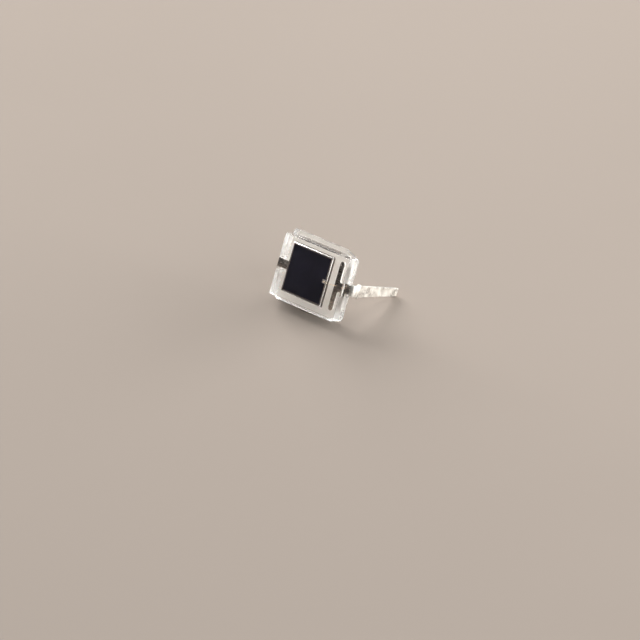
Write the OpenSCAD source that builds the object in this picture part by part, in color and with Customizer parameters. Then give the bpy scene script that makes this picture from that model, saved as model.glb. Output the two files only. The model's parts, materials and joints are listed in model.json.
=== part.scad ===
// Clear moulded photodiode: a square silicon chip on a stamped lead frame, sealed in a flanged block of
// clear epoxy, with a flat formed lead at each end. It lies as it comes to rest, on the back edge of its
// flange and on both lead tips, so its window leans back. Lengths are in millimetres, angles in degrees.
//
// Each piece is drawn in the package's own frame: X runs along the leads towards the anode, Y across the
// package and Z out through the window, with zero at the moulding's back. lie_down() then lays it to rest.

/* [Package] */
// Length of the moulding between the leads, at the parting plane
body_l = 4.88; // [4.7:0.02:5.2]
// Thickness of the moulding, window to back
body_t = 1.2; // [1.1:0.05:1.5]
// Width of the window block where it stands on the flange
window_w = 3.76; // [3.5:0.02:4.1]
// Width of the flange at the parting plane
flange_w = 4.3; // [4.15:0.05:4.7]
// Draft of the window block's walls
window_draft = 2; // [1:0.5:4]
// Draft of the flange's long sides
flange_draft = 6; // [2:1:10]
// Draft of the flange's ends, which clears the leads' bends
end_draft = 25; // [5:1:30]
// Length over which the flange narrows to the window block at the anode end
anode_taper = 0.75; // [0.5:0.05:1]
// Corner cut of the flange at the cathode end
cathode_cut = 0.12; // [0.06:0.02:0.2]
// Corner cut of the window block's upright edges
window_cut = 0.06; // [0.04:0.01:0.12]
// Bevel round the window
window_bevel = 0.02; // [0.01:0.01:0.06]
// Bevel round the moulding's back
back_bevel = 0.03; // [0.02:0.01:0.08]
// Moulding behind the lead frame
rear_skin = 0.2; // [0.14:0.02:0.3]

/* [Lead frame] */
// Thickness of the lead strip
lead_t = 0.2; // [0.16:0.01:0.25]
// Width of each lead's stem inside the moulding
stem_w = 0.54; // [0.4:0.02:0.6]
// Width of each leg where it leaves the bend
leg_w = 0.68; // [0.62:0.02:0.8]
// Width of each leg at its tip
tip_w = 0.48; // [0.4:0.02:0.58]
// Reach of the legs behind the moulding's back
leg_drop = 4; // [3:0.1:5]
// Inside radius of each lead's bend
bend_r = 0.08; // [0.05:0.01:0.15]
// Distance of the trimmed tie stubs below the bend
stub_drop = 0.2; // [0.1:0.02:0.4]
// Length of the trimmed tie stubs along the leg
stub_l = 0.14; // [0.08:0.02:0.2]
// Amount by which the tie stubs stand out of the leg's edges
stub_out = 0.06; // [0.03:0.01:0.1]
// Length of the bond bar across the anode stem
bar_l = 2.95; // [2.4:0.05:3.2]
// Width of the bond bar
bar_w = 0.32; // [0.2:0.01:0.36]
// Radius of the fillets between the bond bar and its stem
bar_fillet = 0.12; // [0.06:0.02:0.2]
// Gap between the chip and the bond bar
bar_gap = 0.44; // [0.3:0.01:0.55]
// Side of the square die pad under the chip
pad_l = 2.9; // [2.4:0.05:2.95]

/* [Chip] */
// Side of the square chip
chip_l = 2.98; // [2.96:0.02:3.2]
// Thickness of the chip
chip_t = 0.28; // [0.2:0.02:0.34]
// Bevel of the chip's sawn rim
chip_bevel = 0.06; // [0.02:0.01:0.07]
// Offset of the chip's centre towards the cathode
chip_shift = 0.39; // [0.3:0.01:0.5]
// Side of the square active area
active_l = 2.74; // [2.5:0.02:2.8]
// Width of the metal frame round the active area
frame_w = 0.03; // [0.02:0.01:0.05]
// Side of the square bond pad inside the metal frame
bond_pad_l = 0.22; // [0.16:0.02:0.3]
// Thickness of the chip's metal film
film_t = 0.01; // [0.005:0.001:0.015]
// Thickness of the die attach layer
attach_t = 0.02; // [0.01:0.005:0.03]
// Amount by which the squeezed-out bead of glue stands out of the chip or the die pad
bead_w = 0.03; // [0.02:0.01:0.05]
// Height to which the bead climbs the chip's sides
bead_rise = 0.1; // [0.06:0.02:0.14]
// Depth to which the bead runs down the die pad's edges
bead_drop = 0.1; // [0.06:0.02:0.14]

/* [Bond wire] */
// Diameter of the bond wire
wire_d = 0.035; // [0.025:0.005:0.05]
// Diameter of the squashed ball on the bond pad
ball_d = 0.1; // [0.08:0.01:0.14]
// Height of the squashed ball
ball_t = 0.03; // [0.02:0.005:0.04]
// Straight rise of the wire above the ball
wire_rise = 0.06; // [0.04:0.01:0.1]
// Radius of the wire's loop
loop_r = 0.16; // [0.1:0.01:0.2]
// Diameter of the flattened stitch on the bond bar
stitch_d = 0.09; // [0.06:0.01:0.12]
// Thickness of the flattened stitch
stitch_t = 0.012; // [0.008:0.001:0.02]

/* [Hidden] */
$fn = 64;

// Overrun of a cutting shape past the face it cuts
cut_over = 0.1;

// Heights of the stack, from the moulding's back towards the window
parting_z = rear_skin + lead_t;
chip_z = parting_z + attach_t;
film_z = chip_z + chip_t;
ball_z = film_z + film_t;

// Places along the leads
end_x = body_l / 2;
chip_x = -chip_shift;
bar_x = chip_x + chip_l / 2 + bar_gap + bar_w / 2;
ball_x = chip_x + active_l / 2 - bond_pad_l / 2;
bend_z = rear_skin - bend_r;

// The window's flat face and the flange's back face, narrowed by the draft
window_h = body_t - parting_z;
window_inset = window_h * tan(window_draft);
flange_inset = parting_z * tan(flange_draft);
end_inset = parting_z * tan(end_draft);
taper_angle = atan((flange_w - window_w) / 2 / anode_taper);
face_w = window_w - 2 * (window_inset + window_bevel);
back_w = flange_w - 2 * flange_inset;

// The wire rises to its loop's start and leaves the loop on a straight line to the stitch
loop_x = ball_x + loop_r;
loop_z = ball_z + ball_t + wire_rise;
reach_x = bar_x - loop_x;
reach_z = parting_z - loop_z;
reach = norm([reach_x, reach_z]);
leave_angle = atan2(reach_z, reach_x) + acos(loop_r / reach);
slope_l = sqrt(reach * reach - loop_r * loop_r);

// At rest the flange's back edge and the lead tips lie in one plane, and the origin is below the middle
rest_tilt = atan((back_w - tip_w) / 2 / (leg_drop + back_bevel));
rest_z = back_w / 2 * cos(rest_tilt) - back_bevel * sin(rest_tilt);
front_y = -face_w / 2 * sin(rest_tilt) - body_t * cos(rest_tilt);
tip_y = tip_w / 2 * sin(rest_tilt) + leg_drop * cos(rest_tilt);
rest_y = -(front_y + tip_y) / 2;

module lie_down() {
    translate([0, rest_y, rest_z])
        rotate([90 - rest_tilt, 0, 0])
            children();
}

// Outline of a drafted wall pair: foot and top widths over a height, with a bevel at the top
module wall_outline(foot, top, height, bevel) {
    bevelled = [
        [top / 2, height - bevel],
        [top / 2 - bevel, height],
        [bevel - top / 2, height],
        [-top / 2, height - bevel],
    ];
    plain = [[top / 2, height], [-top / 2, height]];
    polygon(concat([[-foot / 2, 0], [foot / 2, 0]], bevel > 0 ? bevelled : plain));
}

// Long prism between two opposite drafted walls, whose facing is turned from X about Z
module wall_pair(turn, foot, top, height, bevel, span) {
    rotate([90, 0, turn])
        linear_extrude(span, center = true)
            wall_outline(foot, top, height, bevel);
}

// Block with drafted walls on all four sides and drafted cuts at its corners, standing on Z zero
module drafted_block(foot_l, foot_w, inset_l, inset_w, height, bevel, cut) {
    top_l = foot_l - 2 * inset_l;
    top_w = foot_w - 2 * inset_w;
    foot_d = (foot_l + foot_w - 2 * cut) * sqrt(0.5);
    top_d = (top_l + top_w - 2 * cut) * sqrt(0.5);
    span = foot_l + foot_w;
    intersection() {
        wall_pair(0, foot_l, top_l, height, bevel, span);
        wall_pair(90, foot_w, top_w, height, bevel, span);
        wall_pair(45, foot_d, top_d, height, bevel, span);
        wall_pair(-45, foot_d, top_d, height, bevel, span);
    }
}

module window_block() {
    translate([0, 0, parting_z])
        drafted_block(body_l, window_w, window_inset, window_inset, window_h, window_bevel, window_cut);
}

// Block that takes the flange's corner away on one side of the anode end
module taper_cut() {
    translate([end_x - anode_taper, flange_w / 2, parting_z])
        rotate([0, 0, -taper_angle])
            rotate([-end_draft, 0, 0])
                translate([0, flange_w / 2, 0])
                    cube(flange_w, center = true);
}

module flange() {
    difference() {
        translate([0, 0, parting_z])
            mirror([0, 0, 1])
                drafted_block(body_l, flange_w, end_inset, flange_inset, parting_z, back_bevel, cathode_cut);
        taper_cut();
        mirror([0, 1, 0])
            taper_cut();
    }
}

// Flat strip from one place along X to another, in the lead frame's plane
module strip(from_x, to_x, width) {
    translate([from_x, -width / 2, rear_skin])
        cube([to_x - from_x, width, lead_t]);
}

// Fillet in the corner between the bond bar and its stem
module bar_corner() {
    difference() {
        square(bar_fillet);
        translate([bar_fillet, bar_fillet])
            circle(bar_fillet);
    }
}

// Anode metal inside the moulding: a round-ended bar across a stem
module bond_bar(stem_end) {
    straight_l = bar_l - bar_w;
    translate([bar_x, 0, rear_skin])
        linear_extrude(lead_t) {
            square([bar_w, straight_l], center = true);
            for (side = [-1, 1])
                translate([0, side * straight_l / 2])
                    circle(d = bar_w);
            for (side = [0, 1])
                mirror([0, side])
                    translate([bar_w / 2, stem_w / 2])
                        bar_corner();
        }
    strip(bar_x, stem_end, stem_w);
}

// Cathode metal inside the moulding: the die pad and its stem
module die_pad(stem_end) {
    strip(chip_x - pad_l / 2, chip_x + pad_l / 2, pad_l);
    strip(stem_end, chip_x - pad_l / 2, stem_w);
}

// Lead outside the moulding, on the anode side: the bend, then a leg that tapers to its tip
module formed_leg() {
    leg_l = bend_z + leg_drop;
    translate([end_x, 0, bend_z])
        rotate([90, 0, 0])
            rotate_extrude(angle = 90)
                translate([bend_r, -leg_w / 2])
                    square([lead_t, leg_w]);
    translate([end_x + bend_r, 0, bend_z])
        rotate([90, 0, 90])
            linear_extrude(lead_t) {
                polygon([
                    [-leg_w / 2, 0],
                    [-tip_w / 2, -leg_l],
                    [tip_w / 2, -leg_l],
                    [leg_w / 2, 0],
                ]);
                translate([0, -stub_drop - stub_l / 2])
                    square([leg_w + 2 * stub_out, stub_l], center = true);
            }
}

// Glue on one side of the glue line: it thins to a piece's edge at a given rise and runs on into the piece
module bead_side(piece_l, piece_t, rise) {
    bead_l = max(chip_l, pad_l) + 2 * bead_w;
    height = (attach_t + rise + piece_t) / 2;
    inset = (bead_l - piece_l) / 2 * height / (attach_t / 2 + rise);
    drafted_block(bead_l, bead_l, inset, inset, height, 0, bead_w);
}

// Glue before the pad and the chip are set in it: the layer between them and the bead round its edge
module glue_bed() {
    translate([chip_x, 0, parting_z + attach_t / 2]) {
        bead_side(chip_l, chip_t, bead_rise);
        mirror([0, 0, 1])
            bead_side(pad_l, lead_t, bead_drop);
    }
}

module die() {
    translate([chip_x, 0, chip_z])
        intersection_for(turn = [0, 90])
            wall_pair(turn, chip_l, chip_l, chip_t, chip_bevel, chip_l);
}

module contact_film() {
    translate([chip_x, 0, film_z])
        linear_extrude(film_t) {
            difference() {
                square(active_l + 2 * frame_w, center = true);
                square(active_l, center = true);
            }
            translate([(active_l - bond_pad_l) / 2, 0])
                square(bond_pad_l, center = true);
        }
}

// Ball on the bond pad, straight rise, loop, and a straight run down to the stitch on the bond bar
module wire_run() {
    translate([ball_x, 0, ball_z])
        cylinder(h = ball_t, d = ball_d);
    translate([ball_x, 0, ball_z + ball_t])
        cylinder(h = wire_rise, d = wire_d);
    translate([loop_x, 0, loop_z])
        rotate([90, 0, 0])
            rotate([0, 0, leave_angle])
                rotate_extrude(angle = 180 - leave_angle)
                    translate([loop_r, 0])
                        circle(d = wire_d);
    difference() {
        translate([loop_x, 0, loop_z])
            rotate([0, 90 - leave_angle, 0])
                translate([0, 0, loop_r])
                    rotate([0, 90, 0])
                        cylinder(h = slope_l + wire_d, d = wire_d);
        translate([bar_x, 0, parting_z - cut_over / 2])
            cube([2 * stitch_d, stitch_d, cut_over], center = true);
    }
    translate([bar_x, 0, parting_z])
        cylinder(h = stitch_t, d = stitch_d);
}

module package() {
    color([0.9, 0.92, 0.9, 0.35])
        lie_down()
            difference() {
                union() {
                    flange();
                    window_block();
                }
                die_pad(-end_x - cut_over);
                bond_bar(end_x + cut_over);
                glue_bed();
                die();
                contact_film();
                wire_run();
            }
}

module cathode_lead() {
    color("silver")
        lie_down() {
            die_pad(-end_x);
            mirror([1, 0, 0])
                formed_leg();
        }
}

module anode_lead() {
    color("silver")
        lie_down() {
            bond_bar(end_x);
            formed_leg();
        }
}

module die_attach() {
    color([0.36, 0.28, 0.23])
        lie_down()
            difference() {
                glue_bed();
                die_pad(-end_x);
                die();
            }
}

module chip() {
    color([0.03, 0.03, 0.05])
        lie_down()
            die();
}

module anode_contact() {
    color("lightgray")
        lie_down()
            contact_film();
}

module bond_wire() {
    color("gold")
        lie_down()
            wire_run();
}

package();
cathode_lead();
anode_lead();
die_attach();
chip();
anode_contact();
bond_wire();
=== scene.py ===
"""Clear moulded photodiode, dressed for close views.

Pieces are shaped in the package's own frame, which lies as the part rests: X runs along the leads towards
the anode, Y across the package and Z out through the window, with zero at the moulding's back.
"""

import json
import math

import bmesh
import bpy
from bpy.props import FloatProperty, FloatVectorProperty, PointerProperty
from bpy.types import Operator, Panel, PropertyGroup
from mathutils import Matrix, Vector


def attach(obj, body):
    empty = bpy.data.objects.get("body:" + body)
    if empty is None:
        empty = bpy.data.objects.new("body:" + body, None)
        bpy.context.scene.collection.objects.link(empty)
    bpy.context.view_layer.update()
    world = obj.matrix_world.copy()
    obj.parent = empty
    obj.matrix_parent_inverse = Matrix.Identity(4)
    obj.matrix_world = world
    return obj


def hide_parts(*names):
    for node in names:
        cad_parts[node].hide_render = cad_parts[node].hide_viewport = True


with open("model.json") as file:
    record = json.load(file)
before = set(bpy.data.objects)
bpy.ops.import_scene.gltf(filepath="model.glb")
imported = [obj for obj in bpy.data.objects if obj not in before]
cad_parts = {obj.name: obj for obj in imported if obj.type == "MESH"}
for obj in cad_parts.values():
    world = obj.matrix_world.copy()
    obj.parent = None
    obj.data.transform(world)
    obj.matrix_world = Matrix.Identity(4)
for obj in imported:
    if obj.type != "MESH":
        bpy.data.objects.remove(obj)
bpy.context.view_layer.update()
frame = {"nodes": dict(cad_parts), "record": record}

bl_info = {
    "name": "Clear Photodiode",
    "version": (1, 0, 0),
    "blender": (4, 5, 0),
    "location": "View3D > Sidebar > Photodiode",
    "description": "Moulding, leads, chip and bond wire of a clear flat photodiode",
    "category": "Add Mesh",
}

MM = 0.001
BODY = "root"

# The package's own frame, from the window and back faces that the record states
MOUNTS = {mount["name"]: mount for mount in frame["record"]["mounts"]}
BACK = Vector(MOUNTS["back"]["pos_m"])
OUT = Vector(MOUNTS["window"]["axis"]).normalized()
ALONG = Vector((1.0, 0.0, 0.0))
ACROSS = OUT.cross(ALONG)
REST = Matrix.Translation(BACK) @ Matrix((ALONG, ACROSS, OUT)).transposed().to_4x4()
TO_PACKAGE = REST.inverted()


def package_box(node):
    """Lowest and highest corner of a node's solid in the package's own frame."""
    points = [TO_PACKAGE @ vertex.co for vertex in frame["nodes"][node].data.vertices]
    low = Vector([min(point[axis] for point in points) for axis in range(3)])
    high = Vector([max(point[axis] for point in points) for axis in range(3)])
    return low, high


# Sizes and places that the solids give
_, MOULDING_HIGH = package_box("package")
ANODE_LOW, ANODE_HIGH = package_box("anode_lead")
_, CATHODE_HIGH = package_box("cathode_lead")
CHIP_LOW, CHIP_HIGH = package_box("chip")
FILM_LOW, FILM_HIGH = package_box("anode_contact")
WIRE_LOW, WIRE_HIGH = package_box("bond_wire")
END_X = MOULDING_HIGH.x
FLANGE_HALF_W = MOULDING_HIGH.y
WINDOW_Z = MOULDING_HIGH.z
PARTING_Z = ANODE_HIGH.z
TIP_Z = ANODE_LOW.z
CHIP_X = (CHIP_LOW.x + CHIP_HIGH.x) / 2
CHIP_HALF = (CHIP_HIGH.x - CHIP_LOW.x) / 2
FILM_HALF = (FILM_HIGH.x - FILM_LOW.x) / 2

# Mesh fineness: steps in each rounded edge, corner, bend and ring of the wire
EDGE_STEPS = 4
CORNER_STEPS = 4
STRIP_EDGE_STEPS = 3
BEND_STEPS = 16
ARC_STEPS = 10
WIRE_SIDES = 20
QUARTER = math.pi / 2

# Shares of a strip's own sizes: sharpest rounding of its end edges, and fillet of the die pad
SHARP_EDGE = 0.125
PAD_FILLET = 0.5

# Shares of the bond wire's own sizes: top and foot of the ball, flare and rise of the neck above it, lead of
# the flattening before the stitch, half length of the stitch, and start and sweep of its outline's half turn
BALL_FOOT = 0.82
NECK_FLARE = 0.6
NECK_RISE = 0.35
STITCH_LEAD = 0.7
STITCH_HALF = 0.48
STITCH_START = 0.25
STITCH_SWEEP = 0.7

# Places of a Mix node's two inputs and its result, for each kind of value
MIX_SOCKETS = {"RGBA": (6, 7, 2), "FLOAT": (2, 3, 0)}

# Part of the noise's range that soft patches are spread over
MOTTLE_RANGE = (0.36, 0.64)

# Clear epoxy: refraction, depth of its flow marks, and marks between which one finish passes to the next.
# A facing's marks have their results with them; the others are in millimetres from the edge they belong to
EPOXY_IOR = 1.55
FLOW_DEPTH = 0.0006 * MM
END_FACING = ((0.5, 0.0), (0.9, 1.0))
PARTING_BLEND = (-0.01, 0.01)
SATIN_BLEND = (-0.1, 0.0)
CLEAR_BLEND = (-0.04, 0.14)
WINDOW_BLEND = (-0.03, -0.01)
BACK_BLEND = (0.02, 0.05)

# Stamped strip: facing of its sheared edges, stretch of the lines left by rolling and of the tin's patches,
# what the specks and the sheared edges add, and depth of the lumps in the tin
SHEARED_FACING = ((0.3, 1.0), (0.6, 0.0))
ROLLED_LINES = (0.3, 6.0, 0.3)
TIN_PATCHES = (1.0, 1.4, 0.8)
SPECK_DULLNESS = 0.9
SPECK_HEIGHT = 0.3
SHEARED_ROUGHNESS = 0.4
TIN_DEPTH = 0.001 * MM

# Darker shade in each mottled colour, as a share of it
COAT_SHADE = 0.72
FILM_SHADE = 0.75
GLUE_SHADE = 0.6
GOLD_SHADE = 0.8
FLOOR_SHADE = 0.965

# Stage: half of the floor's side, then each soft box's place and size in metres and the setting of its power
FLOOR_HALF = 0.8
SOFT_BOXES = {
    "back_panel": ((0.200, 0.240, 0.075), (0.44, 0.14), "back_power"),
    "side_panel": ((0.320, 0.0, 0.120), (0.40, 0.24), "side_power"),
    "top_panel": ((0.040, 0.040, 0.360), (0.40, 0.40), "top_power"),
    "left_panel": ((-0.270, 0.100, 0.140), (0.24, 0.28), "left_power"),
}

# Camera: width of its sensor in millimetres, and its nearest and furthest view as shares of its distance
SENSOR_W = 36.0
NEAREST = 0.01
FURTHEST = 100


def length(name, description, millimetres):
    """A size that a user can change, given in millimetres and kept in metres."""
    return FloatProperty(
        name=name, description=description, default=millimetres * MM, min=0.0, unit="LENGTH", precision=6
    )


def angle(name, description, degrees):
    """An angle that a user can change, given in degrees."""
    default = math.radians(degrees)
    return FloatProperty(
        name=name, description=description, default=default, subtype="ANGLE", unit="ROTATION"
    )


def share(name, description, value):
    """A plain number from zero to one."""
    return FloatProperty(
        name=name, description=description, default=value, min=0.0, max=1.0, subtype="FACTOR"
    )


def strength(name, description, value):
    """The power of a lamp in watts."""
    return FloatProperty(name=name, description=description, default=value, min=0.0, unit="POWER")


def colour(name, description, value):
    """A linear colour."""
    return FloatVectorProperty(
        name=name, description=description, default=value, size=3, min=0.0, max=1.0, subtype="COLOR"
    )


class MouldingSettings(PropertyGroup):
    """Shape and finish of the clear moulding."""

    window_w: length("Window width", "Width of the window block at its foot", 3.76)
    window_cut: length("Window corner", "Corner cut of the window block's upright edges", 0.06)
    cathode_cut: length("Cathode corner", "Corner cut of the flange at the cathode end", 0.12)
    anode_taper: length("Anode taper", "Length over which the flange narrows at the anode end", 0.75)
    window_draft: angle("Window draft", "Draft of the window block's walls", 2)
    flange_draft: angle("Flange draft", "Draft of the flange's long sides", 6)
    end_draft: angle("End draft", "Draft of the flange's ends and tapers", 25)
    window_edge: length("Window edge", "Rounding round the window", 0.034)
    back_edge: length("Back edge", "Rounding round the moulding's back", 0.051)
    parting_edge: length("Parting edge", "Rounding of the flange's edge at the parting plane", 0.006)
    parting_step: length("Parting step", "Step between the two halves of the mould at the ends", 0.016)
    foot_fillet: length("Foot fillet", "Fillet between the flange and the window block", 0.02)
    cut_fillet: length("Corner fillet", "Fillet at the foot of the window block's corners", 0.004)
    corner_r: length("Corner radius", "Rounding of the upright edges", 0.03)
    tint: colour("Tint", "Tint of the clear epoxy", (0.975, 0.98, 0.965))
    polish: share("Window polish", "Roughness of the polished window", 0.02)
    gloss: share("Side gloss", "Roughness of the window block's long sides", 0.04)
    flange_gloss: share("Flange gloss", "Roughness of the flange's long sides", 0.25)
    satin: share("End satin", "Roughness of the window block's ends beside the leads", 0.85)
    flange_satin: share("Flange satin", "Roughness of the flange's ends beside the leads", 0.45)
    anode_satin: share("Anode satin", "Share of the ends' satin that the anode end has", 0.6)
    satin_from: length("Satin from", "Height above the back from which the ends have their full satin", 0.7)
    clear_w: length("Clear band", "Width of the polished band round each lead's exit", 0.66)
    frost: share("Back frost", "Roughness of the moulding's matt back", 0.76)


class LeadSettings(PropertyGroup):
    """Shape and finish of the two stamped leads."""

    lead_t: length("Thickness", "Thickness of the lead strip", 0.2)
    stem_w: length("Stem width", "Width of each stem inside the moulding", 0.54)
    leg_w: length("Leg width", "Width of each leg where it leaves the bend", 0.68)
    tip_w: length("Tip width", "Width of each leg at its tip", 0.48)
    bend_r: length("Bend radius", "Inside radius of each bend", 0.08)
    stub_drop: length("Stub drop", "Distance of the tie stubs below the bend", 0.2)
    stub_l: length("Stub length", "Length of the tie stubs along the leg", 0.14)
    stub_out: length("Stub reach", "Amount by which the tie stubs stand out", 0.06)
    bar_w: length("Bar width", "Width of the bond bar", 0.32)
    bar_fillet: length("Bar fillet", "Fillet between the bond bar and its stem", 0.12)
    edge_r: length("Strip edge", "Rounding of the strip's stamped edges", 0.022)
    shoulder: length("Shoulder", "Length over which a step in width is rounded", 0.012)
    bright: colour("Bright tin", "Colour of clean tin", (0.96, 0.94, 0.88))
    dull: colour("Dull tin", "Colour of the tin's dull patches", (0.44, 0.42, 0.38))
    inner: colour("Plated strip", "Colour of the plated strip inside the moulding", (0.46, 0.40, 0.36))
    sheared: colour("Sheared edge", "Colour of the strip's burnished edges", (0.95, 0.93, 0.9))
    # The die pad's side edges under the chip get this dark brown instead of the sheared edges' colour
    pad_edge_dark: colour("Dark pad edges", "Colour of the die pad's edges under the chip, darker than the sheared edges", (0.16, 0.11, 0.08))
    core: colour("Cut core", "Colour of the copper alloy at the cut tips", (0.72, 0.36, 0.20))


class ChipSettings(PropertyGroup):
    """Finish of the silicon chip, its metal film and its glue."""

    rim_bevel: length("Rim bevel", "Bevel of the chip's sawn rim", 0.06)
    rim_edge: length("Rim edge", "Rounding of the bevel's two edges", 0.006)
    active: colour("Active area", "Colour of the coated active area", (0.024, 0.022, 0.034))
    border: colour("Border", "Colour of the bare border", (0.06, 0.048, 0.045))
    wall: colour("Sawn wall", "Colour of the sawn sides", (0.04, 0.034, 0.03))
    rim: colour("Bevelled rim", "Colour of the polished rim", (0.8, 0.77, 0.75))
    bond_pad_l: length("Bond pad", "Side of the square bond pad", 0.22)
    film: colour("Bond pad metal", "Colour of the bare bond pad", (0.85, 0.8, 0.77))
    frame: colour("Metal frame", "Colour of the coated metal frame", (0.3, 0.245, 0.22))
    glue: colour("Glue", "Colour of the chip's glue", (0.1, 0.07, 0.055))


class WireSettings(PropertyGroup):
    """Shape and finish of the bond wire."""

    wire_d: length("Wire", "Diameter of the bond wire", 0.035)
    ball_d: length("Ball width", "Diameter of the squashed ball", 0.1)
    ball_t: length("Ball height", "Height of the squashed ball", 0.03)
    wire_rise: length("Rise", "Straight rise of the wire above the ball", 0.06)
    loop_r: length("Loop", "Radius of the wire's loop", 0.16)
    stitch_d: length("Stitch width", "Width of the flattened stitch", 0.09)
    stitch_t: length("Stitch height", "Thickness of the flattened stitch", 0.012)
    gold: colour("Gold", "Colour of the drawn wire", (0.95, 0.78, 0.6))


class StageSettings(PropertyGroup):
    """Floor, lamps and camera."""

    azimuth: angle("Azimuth", "Camera's turn from the front towards the anode", 40.06)
    elevation: angle("Elevation", "Camera's height above the horizon", 30.98)
    distance: length("Distance", "Camera's distance from the part", 350)
    field_w: length("Field width", "Width of the picture at the part", 36.95)
    shown_right: length("Shown right", "Place of the back's centre, right of the picture's middle", 0.075)
    shown_up: length("Shown up", "Place of the back's centre, above the picture's middle", 2.51)
    floor: colour("Floor", "Colour of the pale floor", (0.28, 0.241, 0.209))
    room: colour("Room", "Colour of the room's own light", (0.05, 0.05, 0.052))
    back_power: strength("Back", "Power of the wide panel behind the anode lead", 2.0)
    side_power: strength("Side", "Power of the wide panel beside the anode lead", 1.0)
    top_power: strength("Top", "Power of the overhead panel", 0.74)
    left_power: strength("Left", "Power of the panel above the cathode lead", 2.6)


SETTINGS = {
    "photodiode_moulding": MouldingSettings,
    "photodiode_leads": LeadSettings,
    "photodiode_chip": ChipSettings,
    "photodiode_wire": WireSettings,
    "photodiode_stage": StageSettings,
}


def skin(mesh, rings):
    """Skins a tube over rings of equal count; returns the vertices of its two open ends."""
    loops = [[mesh.verts.new(point) for point in ring] for ring in rings]
    count = len(loops[0])
    for lower, upper in zip(loops, loops[1:]):
        for index in range(count):
            after = (index + 1) % count
            mesh.faces.new((lower[index], lower[after], upper[after], upper[index]))
    return loops[0], loops[-1]


def loft(mesh, rings):
    """Skins a closed shape over rings of equal count, with a flat face on each end."""
    first, last = skin(mesh, rings)
    mesh.faces.new(list(reversed(first)))
    mesh.faces.new(last)


def new_piece(name, shape, material, node):
    """Makes an object of a bmesh drawn in the package's frame; it stands for a CAD node."""
    bmesh.ops.recalc_face_normals(shape, faces=shape.faces)
    data = bpy.data.meshes.new(name)
    shape.to_mesh(data)
    shape.free()
    data.transform(REST)
    data.shade_smooth()
    data.materials.append(material)
    piece = bpy.data.objects.new(name, data)
    bpy.context.scene.collection.objects.link(piece)
    normals = piece.modifiers.new("Face normals", "WEIGHTED_NORMAL")
    normals.mode = "FACE_AREA"
    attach(piece, BODY)
    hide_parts(node)
    return piece


def dress_node(node, material):
    """Gives a CAD node that is shown as it is a better material."""
    data = frame["nodes"][node].data
    data.materials.clear()
    data.materials.append(material)


def quarter_turns(steps):
    """Angles over a quarter turn, both ends included."""
    return [QUARTER * step / steps for step in range(steps + 1)]


def inset_outline(corners, insets):
    """Corners of a convex outline whose edges have each moved inwards by their own inset."""
    lines = []
    for index, corner in enumerate(corners):
        direction = (corners[(index + 1) % len(corners)] - corner).normalized()
        inward = Vector((-direction.y, direction.x))
        lines.append((corner + inward * insets[index], direction))
    moved = []
    for index, (after, along_after) in enumerate(lines):
        before, along_before = lines[index - 1]
        run = (after - before).cross(along_after) / along_before.cross(along_after)
        moved.append(before + along_before * run)
    return moved


def rounded_ring(corners, radius, height):
    """Points of a convex outline with rounded corners, at one height."""
    ring = []
    for index, corner in enumerate(corners):
        to_last = (corners[index - 1] - corner).normalized()
        to_next = (corners[(index + 1) % len(corners)] - corner).normalized()
        half = to_last.angle(to_next) / 2
        centre = corner + (to_last + to_next).normalized() * radius / math.sin(half)
        first = corner + to_last * radius / math.tan(half) - centre
        start = math.atan2(first.y, first.x)
        for step in range(CORNER_STEPS + 1):
            turn = start + (math.pi - 2 * half) * step / CORNER_STEPS
            ring.append((centre.x + radius * math.cos(turn), centre.y + radius * math.sin(turn), height))
    return ring


def flange_rings(settings):
    """Rings of the flange, from the moulding's back up to its edge at the parting plane."""
    half_w = settings.window_w / 2
    taper_x = END_X - settings.anode_taper
    cut_x = END_X - settings.cathode_cut
    cut_y = FLANGE_HALF_W - settings.cathode_cut
    half_outline = [(END_X, half_w), (taper_x, FLANGE_HALF_W), (-cut_x, FLANGE_HALF_W), (-END_X, cut_y)]
    other_half = [(x, -y) for x, y in reversed(half_outline)]
    corners = [Vector(point) for point in half_outline + other_half]

    def ring(height, inset):
        depth = PARTING_Z - height
        end = depth * math.tan(settings.end_draft)
        side = depth * math.tan(settings.flange_draft)
        cut = (end + side) * math.sqrt(0.5)
        drafts = [end, side, cut, end, cut, side, end, end]
        outline = inset_outline(corners, [draft + inset for draft in drafts])
        return rounded_ring(outline, settings.corner_r, height)

    rings = []
    for turn in quarter_turns(EDGE_STEPS):
        height = settings.back_edge * (1 - math.cos(turn))
        rings.append(ring(height, settings.back_edge * (1 - math.sin(turn))))
    for turn in quarter_turns(EDGE_STEPS):
        height = PARTING_Z - settings.parting_edge * (1 - math.sin(turn))
        rings.append(ring(height, settings.parting_edge * (1 - math.cos(turn))))
    return rings


def window_rings(settings):
    """Rings of the window block, from its foot on the flange up to the window's face."""
    half_w = settings.window_w / 2
    cut_x = END_X - settings.window_cut
    cut_y = half_w - settings.window_cut
    half_outline = [(END_X, cut_y), (cut_x, half_w), (-cut_x, half_w), (-END_X, cut_y)]
    other_half = [(x, -y) for x, y in reversed(half_outline)]
    corners = [Vector(point) for point in half_outline + other_half]

    def ring(height, end, side, cut):
        draft = (height - PARTING_Z) * math.tan(settings.window_draft)
        end_inset = end + draft
        side_inset = side + draft
        cut_inset = cut + draft * math.sqrt(2)
        half_insets = [cut_inset, side_inset, cut_inset, end_inset]
        return rounded_ring(inset_outline(corners, half_insets * 2), settings.corner_r, height)

    rings = []
    step = settings.parting_step
    for turn in quarter_turns(EDGE_STEPS):
        height = PARTING_Z + settings.foot_fillet * (1 - math.cos(turn))
        left = 1 - math.sin(turn)
        side = -settings.foot_fillet * left
        cut = step / 2 - settings.cut_fillet * left
        rings.append(ring(height, step, side, cut))
    for turn in quarter_turns(EDGE_STEPS):
        height = WINDOW_Z - settings.window_edge * (1 - math.sin(turn))
        inset = settings.window_edge * (1 - math.cos(turn))
        rings.append(ring(height, step + inset, inset, step / 2 + inset))
    return rings


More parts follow.
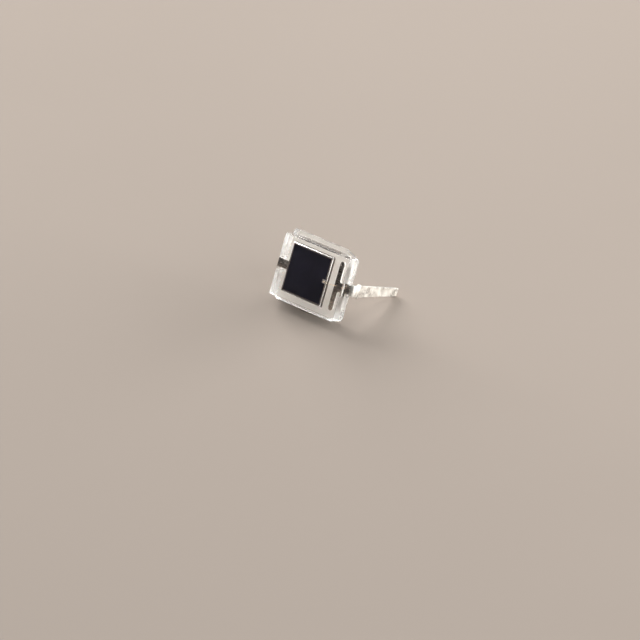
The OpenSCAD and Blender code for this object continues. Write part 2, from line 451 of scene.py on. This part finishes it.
def bend_start(settings):
    """Centre of a lead's bend, as distance along X and height."""
    return Vector((END_X, PARTING_Z - settings.lead_t - settings.bend_r))


def lead_tail(settings):
    """Stations along a lead from its stem to its tip: distance along the strip and half width."""
    stem_half = settings.stem_w / 2
    leg_half = settings.leg_w / 2
    bend_run = (settings.bend_r + settings.lead_t / 2) * QUARTER
    leg_l = bend_start(settings).y - TIP_Z
    leg_run = END_X + bend_run

    def leg_at(drop):
        return leg_half + (settings.tip_w / 2 - leg_half) * drop / leg_l

    stations = [(END_X - settings.shoulder, stem_half), (END_X, leg_half)]
    for step in range(1, BEND_STEPS + 1):
        stations.append((END_X + bend_run * step / BEND_STEPS, leg_half))
    stub_half = leg_half + settings.stub_out
    stub_end = settings.stub_drop + settings.stub_l
    return stations + [
        (leg_run + settings.stub_drop - settings.shoulder, leg_at(settings.stub_drop)),
        (leg_run + settings.stub_drop, stub_half),
        (leg_run + stub_end, stub_half),
        (leg_run + stub_end + settings.shoulder, leg_at(stub_end)),
        (leg_run + leg_l, settings.tip_w / 2),
    ]


def formed(settings, run, y, depth):
    """Place of a point of the flat strip once its end has been bent back, on the anode side."""
    centre = bend_start(settings)
    radius = settings.bend_r + depth
    middle_r = settings.bend_r + settings.lead_t / 2
    turn = min(max((run - END_X) / middle_r, 0.0), QUARTER)
    before = min(run - END_X, 0.0)
    past = max(run - END_X - middle_r * QUARTER, 0.0)
    return Vector((
        centre.x + before + radius * math.sin(turn),
        y,
        centre.y + radius * math.cos(turn) - past,
    ))


def strip_ring(settings, run, half_w, inset):
    """Section of a lead at one place along the strip: a flat oblong with rounded edges."""
    radius = max(settings.edge_r - inset, settings.edge_r * SHARP_EDGE)
    reach = half_w - inset - radius
    low = inset + radius
    high = settings.lead_t - inset - radius
    ring = []
    for quadrant, (side, depth) in enumerate(((1, high), (-1, high), (-1, low), (1, low))):
        for step in range(STRIP_EDGE_STEPS + 1):
            turn = QUARTER * (quadrant + step / STRIP_EDGE_STEPS)
            y = side * reach + radius * math.cos(turn)
            ring.append(formed(settings, run, y, depth + radius * math.sin(turn)))
    return ring


def strip_rings(settings, stations):
    """Sections of a lead at its stations, with rounded edges at both ends."""
    first_run, first_half = stations[0]
    last_run, last_half = stations[-1]
    edge = settings.edge_r
    rings = []
    for turn in quarter_turns(STRIP_EDGE_STEPS)[:-1]:
        run = first_run + edge * (1 - math.cos(turn))
        rings.append(strip_ring(settings, run, first_half, edge * (1 - math.sin(turn))))
    rings.append(strip_ring(settings, first_run + edge, first_half, 0.0))
    rings += [strip_ring(settings, run, half, 0.0) for run, half in stations[1:-1]]
    rings.append(strip_ring(settings, last_run - edge, last_half, 0.0))
    for turn in reversed(quarter_turns(STRIP_EDGE_STEPS)[:-1]):
        run = last_run - edge * (1 - math.cos(turn))
        rings.append(strip_ring(settings, run, last_half, edge * (1 - math.sin(turn))))
    return rings


def anode_stations(settings):
    """Stations of the anode lead: a round-ended bond bar, its fillets, then the stem and leg."""
    bar_r = settings.bar_w / 2
    bar_x = ANODE_LOW.x + bar_r
    straight_half = ANODE_HIGH.y - bar_r
    stem_half = settings.stem_w / 2
    stations = [(ANODE_LOW.x, straight_half)]
    for step in range(1, 2 * ARC_STEPS):
        turn = math.pi * step / (2 * ARC_STEPS)
        run = bar_x - bar_r * math.cos(turn)
        if run > ANODE_LOW.x + settings.edge_r:
            stations.append((run, straight_half + bar_r * math.sin(turn)))
    bar_end = bar_x + bar_r
    for turn in quarter_turns(ARC_STEPS):
        run = bar_end + settings.bar_fillet * (1 - math.cos(turn))
        stations.append((run, stem_half + settings.bar_fillet * (1 - math.sin(turn))))
    return stations + lead_tail(settings)


def cathode_stations(settings):
    """Stations of the cathode lead, counted towards the cathode: the die pad, then the stem and leg."""
    pad_half = CATHODE_HIGH.y
    pad_end = pad_half - CHIP_X
    stem_half = settings.stem_w / 2
    fillet = settings.bar_fillet * PAD_FILLET
    stations = [(-CATHODE_HIGH.x, pad_half), (pad_end - settings.shoulder, pad_half)]
    for turn in quarter_turns(ARC_STEPS):
        run = pad_end + fillet * (1 - math.cos(turn))
        stations.append((run, stem_half + fillet * (1 - math.sin(turn))))
    return stations + lead_tail(settings)


def add_node(tree, kind, **settings):
    """Adds a shader node with its settings."""
    made = tree.nodes.new(kind)
    for name, value in settings.items():
        setattr(made, name, value)
    return made


def feed(tree, value, slot):
    """Gives an input a socket's result, a plain value or a colour."""
    if isinstance(value, bpy.types.NodeSocket):
        tree.links.new(value, slot)
    elif slot.type == "RGBA":
        slot.default_value = (*value, 1.0)
    else:
        slot.default_value = value


def calculate(tree, operation, *values):
    """A math node on values or sockets; returns its result."""
    made = add_node(tree, "ShaderNodeMath", operation=operation)
    for slot, value in zip(made.inputs, values):
        feed(tree, value, slot)
    return made.outputs[0]


def split(tree, vector):
    """Sockets of a vector's parts, by the names X, Y and Z."""
    made = add_node(tree, "ShaderNodeSeparateXYZ")
    tree.links.new(vector, made.inputs[0])
    return made.outputs


def mix(tree, kind, factor, first, second):
    """Mixes two values or sockets of one kind by a factor socket; returns the result."""
    made = add_node(tree, "ShaderNodeMix", data_type=kind)
    first_slot, second_slot, result = MIX_SOCKETS[kind]
    tree.links.new(factor, made.inputs["Factor"])
    feed(tree, first, made.inputs[first_slot])
    feed(tree, second, made.inputs[second_slot])
    return made.outputs[result]


def blend_over(tree, value, start, end):
    """Passes between two results as a value passes between two marks; each end is a mark and its result."""
    made = add_node(tree, "ShaderNodeMapRange")
    made.inputs["From Min"].default_value, made.inputs["To Min"].default_value = start
    made.inputs["From Max"].default_value, made.inputs["To Max"].default_value = end
    tree.links.new(value, made.inputs["Value"])
    return made.outputs["Result"]


def new_group(name, inputs, outputs):
    """A shader node group with named sockets; returns it with its input and output nodes."""
    tree = bpy.data.node_groups.new(name, "ShaderNodeTree")
    for socket, kind, default in inputs:
        made = tree.interface.new_socket(socket, in_out="INPUT", socket_type=kind)
        if default is not None:
            made.default_value = default
    for socket, kind in outputs:
        tree.interface.new_socket(socket, in_out="OUTPUT", socket_type=kind)
    return tree, tree.nodes.new("NodeGroupInput"), tree.nodes.new("NodeGroupOutput")


def place_group():
    """Group that gives a point's place in the package's frame, in millimetres."""
    found = bpy.data.node_groups.get("Package place")
    if found:
        return found
    tree, _, result = new_group("Package place", [], [("Place", "NodeSocketVector")])
    where = add_node(tree, "ShaderNodeTexCoord")
    turn = add_node(tree, "ShaderNodeMapping", vector_type="POINT")
    turn.inputs["Location"].default_value = TO_PACKAGE.to_translation() / MM
    turn.inputs["Rotation"].default_value = TO_PACKAGE.to_euler()
    turn.inputs["Scale"].default_value = Vector((1.0, 1.0, 1.0)) / MM
    tree.links.new(where.outputs["Object"], turn.inputs["Vector"])
    tree.links.new(turn.outputs["Vector"], result.inputs["Place"])
    return tree


def mottle_group():
    """Group that gives soft uneven patches between two values; fineness is patches per unit of place."""
    found = bpy.data.node_groups.get("Mottle")
    if found:
        return found
    inputs = [
        ("Place", "NodeSocketVector", None),
        ("Stretch", "NodeSocketVector", (1.0, 1.0, 1.0)),
        ("Fineness", "NodeSocketFloat", 2.0),
        ("Detail", "NodeSocketFloat", 4.0),
        ("Low", "NodeSocketFloat", 0.0),
        ("High", "NodeSocketFloat", 1.0),
    ]
    tree, given, result = new_group("Mottle", inputs, [("Value", "NodeSocketFloat")])
    stretched = add_node(tree, "ShaderNodeVectorMath", operation="MULTIPLY")
    noise = add_node(tree, "ShaderNodeTexNoise")
    spread = add_node(tree, "ShaderNodeMapRange", interpolation_type="SMOOTHSTEP")
    spread.inputs["From Min"].default_value, spread.inputs["From Max"].default_value = MOTTLE_RANGE
    tree.links.new(given.outputs["Place"], stretched.inputs[0])
    tree.links.new(given.outputs["Stretch"], stretched.inputs[1])
    tree.links.new(stretched.outputs[0], noise.inputs["Vector"])
    tree.links.new(given.outputs["Fineness"], noise.inputs["Scale"])
    tree.links.new(given.outputs["Detail"], noise.inputs["Detail"])
    tree.links.new(noise.outputs["Fac"], spread.inputs["Value"])
    tree.links.new(given.outputs["Low"], spread.inputs["To Min"])
    tree.links.new(given.outputs["High"], spread.inputs["To Max"])
    tree.links.new(spread.outputs["Result"], result.inputs["Value"])
    return tree


def square_group():
    """Group that gives one inside a square round a place on the X and Y axes, and zero outside."""
    found = bpy.data.node_groups.get("Square mask")
    if found:
        return found
    inputs = [
        ("Place", "NodeSocketVector", None),
        ("Middle", "NodeSocketVector", (0.0, 0.0, 0.0)),
        ("Half side", "NodeSocketFloat", 1.0),
    ]
    tree, given, result = new_group("Square mask", inputs, [("Inside", "NodeSocketFloat")])
    offset = add_node(tree, "ShaderNodeVectorMath", operation="SUBTRACT")
    size = add_node(tree, "ShaderNodeVectorMath", operation="ABSOLUTE")
    tree.links.new(given.outputs["Place"], offset.inputs[0])
    tree.links.new(given.outputs["Middle"], offset.inputs[1])
    tree.links.new(offset.outputs[0], size.inputs[0])
    parts = split(tree, size.outputs[0])
    furthest = calculate(tree, "MAXIMUM", parts["X"], parts["Y"])
    inside = calculate(tree, "LESS_THAN", furthest, given.outputs["Half side"])
    tree.links.new(inside, result.inputs["Inside"])
    return tree


def add_group(tree, group, **values):
    """Places a node group with its own values, given by socket names with _ for a space."""
    made = add_node(tree, "ShaderNodeGroup", node_tree=group)
    for name, value in values.items():
        feed(tree, value, made.inputs[name.replace("_", " ")])
    return made.outputs[0]


def new_material(name, **values):
    """A material and its shader, whose plain values are given by socket names with _ for a space."""
    material = bpy.data.materials.new(name)
    material.use_nodes = True
    shader = material.node_tree.nodes["Principled BSDF"]
    for socket, value in values.items():
        shader.inputs[socket.replace("_", " ")].default_value = value
    return material, material.node_tree, shader


def add_bump(tree, shader, height, depth):
    """Feeds a height from zero to one, of a depth in metres, to a shader's normal."""
    bump = add_node(tree, "ShaderNodeBump")
    bump.inputs["Strength"].default_value = 1.0
    bump.inputs["Distance"].default_value = depth
    tree.links.new(height, bump.inputs["Height"])
    tree.links.new(bump.outputs["Normal"], shader.inputs["Normal"])


def add_roughness(tree, shader, place, **patches):
    """Feeds soft patches between a low and a high value to a shader's roughness."""
    rough = add_group(tree, mottle_group(), Place=place, **patches)
    tree.links.new(rough, shader.inputs["Roughness"])


def mottled(tree, place, tone, shade, **patches):
    """A colour in soft patches with a darker shade of itself; returns the result."""
    clouds = add_group(tree, mottle_group(), Place=place, **patches)
    return mix(tree, "RGBA", clouds, tone, tuple(shade * part for part in tone))


def clear_epoxy(settings):
    """Clear epoxy: polished window, glossy sides, satin ends with clear bands, matt back and flow marks."""
    material, tree, shader = new_material(
        "Clear epoxy", Base_Color=(*settings.tint, 1.0), IOR=EPOXY_IOR, Transmission_Weight=1.0
    )
    place = add_group(tree, place_group())
    spot = split(tree, place)
    low, high = (PARTING_Z / MM + step for step in PARTING_BLEND)
    long_sides = blend_over(tree, spot["Z"], (low, settings.flange_gloss), (high, settings.gloss))

    low, high = (settings.satin_from / MM + step for step in SATIN_BLEND)
    ends = blend_over(tree, spot["Z"], (low, settings.flange_satin), (high, settings.satin))
    end_x = END_X / MM
    towards_anode = blend_over(tree, spot["X"], (-end_x, 1.0), (end_x, settings.anode_satin))
    near, far = (settings.clear_w / 2 / MM + step for step in CLEAR_BLEND)
    beside_lead = blend_over(tree, calculate(tree, "ABSOLUTE", spot["Y"]), (near, 0.0), (far, 1.0))
    satin_ends = calculate(tree, "MULTIPLY", calculate(tree, "MULTIPLY", ends, towards_anode), beside_lead)

    facing = add_node(tree, "ShaderNodeNewGeometry")
    endwise = calculate(tree, "ABSOLUTE", split(tree, facing.outputs["Normal"])["X"])
    walls = mix(tree, "FLOAT", blend_over(tree, endwise, *END_FACING), long_sides, satin_ends)
    low, high = (WINDOW_Z / MM + step for step in WINDOW_BLEND)
    below_window = blend_over(tree, spot["Z"], (low, 1.0), (high, 0.0))
    low, high = BACK_BLEND
    back = blend_over(tree, spot["Z"], (low, settings.frost), (high, 0.0))
    dulled = calculate(tree, "MAXIMUM", calculate(tree, "MULTIPLY", walls, below_window), back)
    patches = add_group(tree, mottle_group(), Place=place, Fineness=1.3, Low=0.85, High=1.15)
    uneven = calculate(tree, "MULTIPLY", dulled, patches)
    tree.links.new(calculate(tree, "MAXIMUM", uneven, settings.polish), shader.inputs["Roughness"])
    flow = add_group(tree, mottle_group(), Place=place, Fineness=0.8, Detail=1.0)
    add_bump(tree, shader, flow, FLOW_DEPTH)
    return material


def tinned_strip(settings):
    """Stamped strip: plated inside the moulding, tinned outside it, bare copper alloy at the cut tips."""
    material, tree, shader = new_material("Tinned strip", Metallic=1.0)
    place = add_group(tree, place_group())
    spot = split(tree, place)
    outside = calculate(tree, "GREATER_THAN", calculate(tree, "ABSOLUTE", spot["X"]), END_X / MM)
    patches = add_group(tree, mottle_group(), Place=place, Stretch=TIN_PATCHES, Fineness=1.6, Detail=2.0)
    specks = add_group(tree, mottle_group(), Place=place, Fineness=9.0, Detail=3.0)
    spots = calculate(tree, "MULTIPLY", patches, calculate(tree, "MULTIPLY", specks, SPECK_DULLNESS))
    tin = mix(tree, "RGBA", spots, settings.bright, settings.dull)

    facing = add_node(tree, "ShaderNodeNewGeometry")
    towards = add_node(tree, "ShaderNodeVectorMath", operation="DOT_PRODUCT")
    towards.inputs[1].default_value = OUT
    tree.links.new(facing.outputs["Normal"], towards.inputs[0])
    level = calculate(tree, "MULTIPLY", towards.outputs["Value"], towards.outputs["Value"])
    sheared = blend_over(tree, level, *SHEARED_FACING)
    middle = (CHIP_X / MM, 0.0, 0.0)
    bed = add_group(tree, square_group(), Place=place, Middle=middle, Half_side=CHIP_HALF / MM)
    # Within the chip's square the sheared edges take the dark pad-edge colour, so the pad's edges under the
    # chip are darker
    edges = mix(tree, "RGBA", bed, settings.sheared, settings.pad_edge_dark)
    plated = mix(tree, "RGBA", sheared, settings.inner, edges)
    strip = mix(tree, "RGBA", outside, plated, tin)
    cut = calculate(tree, "LESS_THAN", spot["Z"], (TIP_Z + settings.edge_r / 2) / MM)
    tree.links.new(mix(tree, "RGBA", cut, strip, settings.core), shader.inputs["Base Color"])

    dipped = add_group(tree, mottle_group(), Place=place, Fineness=3.0, Low=0.4, High=0.52)
    rolled = add_group(
        tree, mottle_group(), Place=place, Stretch=ROLLED_LINES, Fineness=6.0, Low=0.2, High=0.3
    )
    inner_rough = calculate(tree, "ADD", rolled, calculate(tree, "MULTIPLY", sheared, SHEARED_ROUGHNESS))
    tree.links.new(mix(tree, "FLOAT", outside, inner_rough, dipped), shader.inputs["Roughness"])
    lumps = calculate(tree, "ADD", patches, calculate(tree, "MULTIPLY", specks, SPECK_HEIGHT))
    add_bump(tree, shader, calculate(tree, "MULTIPLY", lumps, outside), TIN_DEPTH)
    return material


def silicon(settings):
    """Silicon chip: coated active area, bare border, bright bevelled rim and dark sawn walls."""
    material, tree, shader = new_material("Silicon", Specular_IOR_Level=0.25)
    place = add_group(tree, place_group())
    middle = (CHIP_X / MM, 0.0, 0.0)
    active = add_group(tree, square_group(), Place=place, Middle=middle, Half_side=FILM_HALF / MM)
    coated = mottled(tree, place, settings.active, COAT_SHADE, Fineness=0.7, Detail=2.0)
    top = mix(tree, "RGBA", active, settings.border, coated)
    height = split(tree, place)["Z"]
    rim_z = (CHIP_HIGH.z - settings.rim_bevel - settings.rim_edge) / MM
    top_z = (CHIP_HIGH.z - settings.rim_edge / 2) / MM
    sides = mix(tree, "RGBA", calculate(tree, "GREATER_THAN", height, rim_z), settings.wall, settings.rim)
    upper = calculate(tree, "GREATER_THAN", height, top_z)
    tree.links.new(mix(tree, "RGBA", upper, sides, top), shader.inputs["Base Color"])
    tree.links.new(calculate(tree, "SUBTRACT", 1.0, upper), shader.inputs["Metallic"])
    add_roughness(tree, shader, place, Fineness=1.1, Low=0.16, High=0.26)
    return material


def metal_film(settings):
    """Evaporated metal film of the chip's contact: a coated frame and a bare bond pad."""
    material, tree, shader = new_material("Metal film", Metallic=1.0)
    place = add_group(tree, place_group())
    bare = mottled(tree, place, settings.film, FILM_SHADE, Fineness=22.0)
    pad_half = settings.bond_pad_l / 2
    middle = ((CHIP_X + FILM_HALF - pad_half) / MM, 0.0, 0.0)
    pad = add_group(tree, square_group(), Place=place, Middle=middle, Half_side=pad_half / MM)
    tree.links.new(mix(tree, "RGBA", pad, settings.frame, bare), shader.inputs["Base Color"])
    add_roughness(tree, shader, place, Fineness=14.0, Low=0.65, High=0.8)
    return material


def filled_glue(settings):
    """Metal-filled glue under the chip."""
    material, tree, shader = new_material("Filled glue")
    place = add_group(tree, place_group())
    grains = mottled(tree, place, settings.glue, GLUE_SHADE, Fineness=12.0)
    tree.links.new(grains, shader.inputs["Base Color"])
    add_roughness(tree, shader, place, Fineness=9.0, Low=0.45, High=0.65)
    return material


def drawn_gold(settings):
    """Drawn gold wire, a little uneven."""
    material, tree, shader = new_material("Drawn gold", Metallic=1.0)
    place = add_group(tree, place_group())
    grains = mottled(tree, place, settings.gold, GOLD_SHADE, Fineness=18.0)
    tree.links.new(grains, shader.inputs["Base Color"])
    add_roughness(tree, shader, place, Fineness=16.0, Low=0.18, High=0.32)
    return material


def floor_finish(settings):
    """Plain pale matt floor with faint clouds."""
    material, tree, shader = new_material("Pale floor", Specular_IOR_Level=0.0)
    place = add_node(tree, "ShaderNodeTexCoord").outputs["Object"]
    clouds = mottled(tree, place, settings.floor, FLOOR_SHADE, Fineness=14.0)
    tree.links.new(clouds, shader.inputs["Base Color"])
    add_roughness(tree, shader, place, Fineness=20.0, Low=0.8, High=0.9)
    return material


def wire_stations(settings):
    """Stations of the bond wire: centre, direction, half width and half thickness."""
    radius = settings.wire_d / 2
    ball_r = settings.ball_d / 2
    ball_x = WIRE_LOW.x + ball_r
    stitch_x = WIRE_HIGH.x - settings.stitch_d / 2
    ball_z = FILM_HIGH.z
    up = Vector((0.0, 0.0, 1.0))
    stations = []
    for step in range(ARC_STEPS + 1):
        turn = math.pi * step / ARC_STEPS
        bulge = ball_r * (BALL_FOOT + (1 - BALL_FOOT) * math.sin(turn))
        height = ball_z + settings.ball_t * step / ARC_STEPS
        stations.append((Vector((ball_x, 0.0, height)), up, bulge, bulge))
    neck_z = ball_z + settings.ball_t
    for turn in quarter_turns(EDGE_STEPS)[1:]:
        neck = radius + (BALL_FOOT * ball_r - radius) * (1 - math.sin(turn)) * NECK_FLARE
        height = neck_z + settings.wire_rise * NECK_RISE * (1 - math.cos(turn))
        stations.append((Vector((ball_x, 0.0, height)), up, neck, neck))
    loop = Vector((ball_x + settings.loop_r, 0.0, neck_z + settings.wire_rise))
    reach = Vector((stitch_x, 0.0, PARTING_Z)) - loop
    leave = math.atan2(reach.z, reach.x) + math.acos(settings.loop_r / reach.length)
    for step in range(BEND_STEPS + 1):
        turn = math.pi + (leave - math.pi) * step / BEND_STEPS
        spoke = Vector((math.cos(turn), 0.0, math.sin(turn)))
        heading = Vector((math.sin(turn), 0.0, -math.cos(turn)))
        stations.append((loop + spoke * settings.loop_r, heading, radius, radius))
    heading = Vector((math.sin(leave), 0.0, -math.cos(leave)))
    start = loop + Vector((math.cos(leave), 0.0, math.sin(leave))) * settings.loop_r
    end = Vector((stitch_x, 0.0, PARTING_Z + settings.stitch_t / 2))
    flat_from = end - heading * settings.stitch_d * STITCH_LEAD
    stations.append((start.lerp(flat_from, 0.5), heading, radius, radius))
    stations.append((flat_from, heading, radius, radius))
    level = Vector((1.0, 0.0, 0.0))
    half_t = settings.stitch_t / 2
    for step in range(ARC_STEPS + 1):
        turn = math.pi * (STITCH_START + STITCH_SWEEP * step / ARC_STEPS)
        along = stitch_x - math.cos(turn) * settings.stitch_d * STITCH_HALF
        half_w = settings.stitch_d / 2 * math.sin(turn)
        stations.append((Vector((along, 0.0, end.z)), level, half_w, half_t))
    return stations


def wire_rings(settings):
    """Sections of the bond wire at its stations."""
    across = Vector((0.0, 1.0, 0.0))
    rings = []
    for centre, heading, half_w, half_t in wire_stations(settings):
        normal = across.cross(heading)
        ring = []
        for side in range(WIRE_SIDES):
            turn = 2 * math.pi * side / WIRE_SIDES
            ring.append(centre + across * half_w * math.cos(turn) + normal * half_t * math.sin(turn))
        rings.append(ring)
    return rings


def chip_rings(settings):
    """Rings of the chip, from its foot up its walls and over its bevelled rim."""
    corners = [
        Vector((CHIP_HIGH.x, CHIP_HIGH.y)),
        Vector((CHIP_LOW.x, CHIP_HIGH.y)),
        Vector((CHIP_LOW.x, CHIP_LOW.y)),
        Vector((CHIP_HIGH.x, CHIP_LOW.y)),
    ]
    bevel = settings.rim_bevel
    edge = settings.rim_edge
    steps = [
        (0.0, CHIP_LOW.z),
        (0.0, CHIP_HIGH.z - bevel - edge),
        (edge, CHIP_HIGH.z - bevel + edge),
        (bevel - edge, CHIP_HIGH.z - edge),
        (bevel + edge, CHIP_HIGH.z),
    ]
    rings = []
    for inset, height in steps:
        outline = inset_outline(corners, [inset] * len(corners))
        rings.append(rounded_ring(outline, edge, height))
    return rings


def add_floor(settings):
    """The floor that the part lies on."""
    shape = bmesh.new()
    bmesh.ops.create_grid(shape, x_segments=1, y_segments=1, size=FLOOR_HALF)
    data = bpy.data.meshes.new("floor")
    shape.to_mesh(data)
    shape.free()
    data.materials.append(floor_finish(settings))
    floor = bpy.data.objects.new("floor", data)
    bpy.context.scene.collection.objects.link(floor)


def add_soft_box(name, middle, size, power):
    """A soft rectangular lamp that faces the part and stays out of the picture."""
    lamp = bpy.data.lights.new(name, "AREA")
    lamp.shape = "RECTANGLE"
    lamp.size, lamp.size_y = size
    lamp.energy = power
    box = bpy.data.objects.new(name, lamp)
    box.location = middle
    box.rotation_euler = (BACK - Vector(middle)).to_track_quat("-Z", "Y").to_euler()
    box.visible_camera = False
    bpy.context.scene.collection.objects.link(box)


def add_room_light(settings):
    """The room's own even light, shown in standard tones."""
    world = bpy.data.worlds.new("room")
    world.use_nodes = True
    world.node_tree.nodes["Background"].inputs["Color"].default_value = (*settings.room, 1.0)
    bpy.context.scene.world = world
    bpy.context.scene.view_settings.view_transform = "Standard"


def add_camera(settings):
    """The camera, set by its angle, its distance and where it shows the middle of the moulding's back."""
    turn = settings.azimuth
    rise = settings.elevation
    towards = Vector((
        math.sin(turn) * math.cos(rise),
        -math.cos(turn) * math.cos(rise),
        math.sin(rise),
    ))
    facing = (-towards).to_track_quat("-Z", "Y")
    right = facing @ Vector((1.0, 0.0, 0.0))
    up = facing @ Vector((0.0, 1.0, 0.0))
    lens = bpy.data.cameras.new("camera")
    lens.sensor_width = SENSOR_W
    lens.lens = SENSOR_W * settings.distance / settings.field_w
    lens.clip_start = settings.distance * NEAREST
    lens.clip_end = settings.distance * FURTHEST
    camera = bpy.data.objects.new("camera", lens)
    aim = BACK - right * settings.shown_right - up * settings.shown_up
    camera.location = aim + towards * settings.distance
    camera.rotation_euler = facing.to_euler()
    bpy.context.scene.collection.objects.link(camera)
    bpy.context.scene.camera = camera


class PHOTODIODE_OT_moulding(Operator):
    """Model the clear moulding: window block, flange and rounded edges"""

    bl_idname = "photodiode.moulding"
    bl_label = "Clear Moulding"

    def execute(self, context):
        settings = context.scene.photodiode_moulding
        shape = bmesh.new()
        back, _ = skin(shape, flange_rings(settings))
        _, face = skin(shape, window_rings(settings))
        shape.faces.new(list(reversed(back)))
        shape.faces.new(face)
        ledge = [edge for edge in shape.edges if edge.is_boundary]
        bmesh.ops.triangle_fill(shape, use_beauty=True, edges=ledge)
        new_piece("clear_moulding", shape, clear_epoxy(settings), "package")
        return {"FINISHED"}


class PHOTODIODE_OT_leads(Operator):
    """Model both stamped leads, bent back at the moulding's ends"""

    bl_idname = "photodiode.leads"
    bl_label = "Leads"

    def execute(self, context):
        settings = context.scene.photodiode_leads
        material = tinned_strip(settings)
        anode = bmesh.new()
        loft(anode, strip_rings(settings, anode_stations(settings)))
        new_piece("anode_strip", anode, material, "anode_lead")
        cathode = bmesh.new()
        loft(cathode, strip_rings(settings, cathode_stations(settings)))
        bmesh.ops.scale(cathode, vec=(-1.0, 1.0, 1.0), verts=cathode.verts)
        new_piece("cathode_strip", cathode, material, "cathode_lead")
        return {"FINISHED"}


class PHOTODIODE_OT_chip(Operator):
    """Model the silicon chip and dress its metal film and glue"""

    bl_idname = "photodiode.chip"
    bl_label = "Chip"

    def execute(self, context):
        settings = context.scene.photodiode_chip
        shape = bmesh.new()
        loft(shape, chip_rings(settings))
        new_piece("silicon_chip", shape, silicon(settings), "chip")
        dress_node("anode_contact", metal_film(settings))
        dress_node("die_attach", filled_glue(settings))
        return {"FINISHED"}


class PHOTODIODE_OT_bond_wire(Operator):
    """Model the bond wire: squashed ball, loop and flattened stitch"""

    bl_idname = "photodiode.bond_wire"
    bl_label = "Bond Wire"

    def execute(self, context):
        settings = context.scene.photodiode_wire
        shape = bmesh.new()
        loft(shape, wire_rings(settings))
        new_piece("gold_wire", shape, drawn_gold(settings), "bond_wire")
        return {"FINISHED"}


class PHOTODIODE_OT_stage(Operator):
    """Add the pale floor, the soft boxes, the room's light and the camera"""

    bl_idname = "photodiode.stage"
    bl_label = "Stage"

    def execute(self, context):
        settings = context.scene.photodiode_stage
        add_floor(settings)
        for name, (middle, size, power) in SOFT_BOXES.items():
            add_soft_box(name, middle, size, getattr(settings, power))
        add_room_light(settings)
        add_camera(settings)
        return {"FINISHED"}


OPERATORS = (
    PHOTODIODE_OT_moulding,
    PHOTODIODE_OT_leads,
    PHOTODIODE_OT_chip,
    PHOTODIODE_OT_bond_wire,
    PHOTODIODE_OT_stage,
)


class PHOTODIODE_PT_panel(Panel):
    """Lists the photodiode's pieces and their settings"""

    bl_idname = "PHOTODIODE_PT_panel"
    bl_label = "Photodiode"
    bl_space_type = "VIEW_3D"
    bl_region_type = "UI"
    bl_category = "Photodiode"

    def draw(self, context):
        for operator in OPERATORS:
            self.layout.operator(operator.bl_idname)
        for holder in SETTINGS:
            group = getattr(context.scene, holder)
            box = self.layout.box()
            for name in group.__annotations__:
                box.prop(group, name)


CLASSES = (*SETTINGS.values(), *OPERATORS, PHOTODIODE_PT_panel)


def register():
    """Registers the classes and gives the scene their settings."""
    for made in CLASSES:
        bpy.utils.register_class(made)
    for holder, group in SETTINGS.items():
        setattr(bpy.types.Scene, holder, PointerProperty(type=group))


def unregister():
    """Takes the settings and the classes away again."""
    for holder in SETTINGS:
        delattr(bpy.types.Scene, holder)
    for made in reversed(CLASSES):
        bpy.utils.unregister_class(made)


def main():
    """Builds the part and its stage."""
    register()
    bpy.ops.photodiode.moulding()
    bpy.ops.photodiode.leads()
    bpy.ops.photodiode.chip()
    bpy.ops.photodiode.bond_wire()
    bpy.ops.photodiode.stage()


if __name__ == "__main__":
    main()
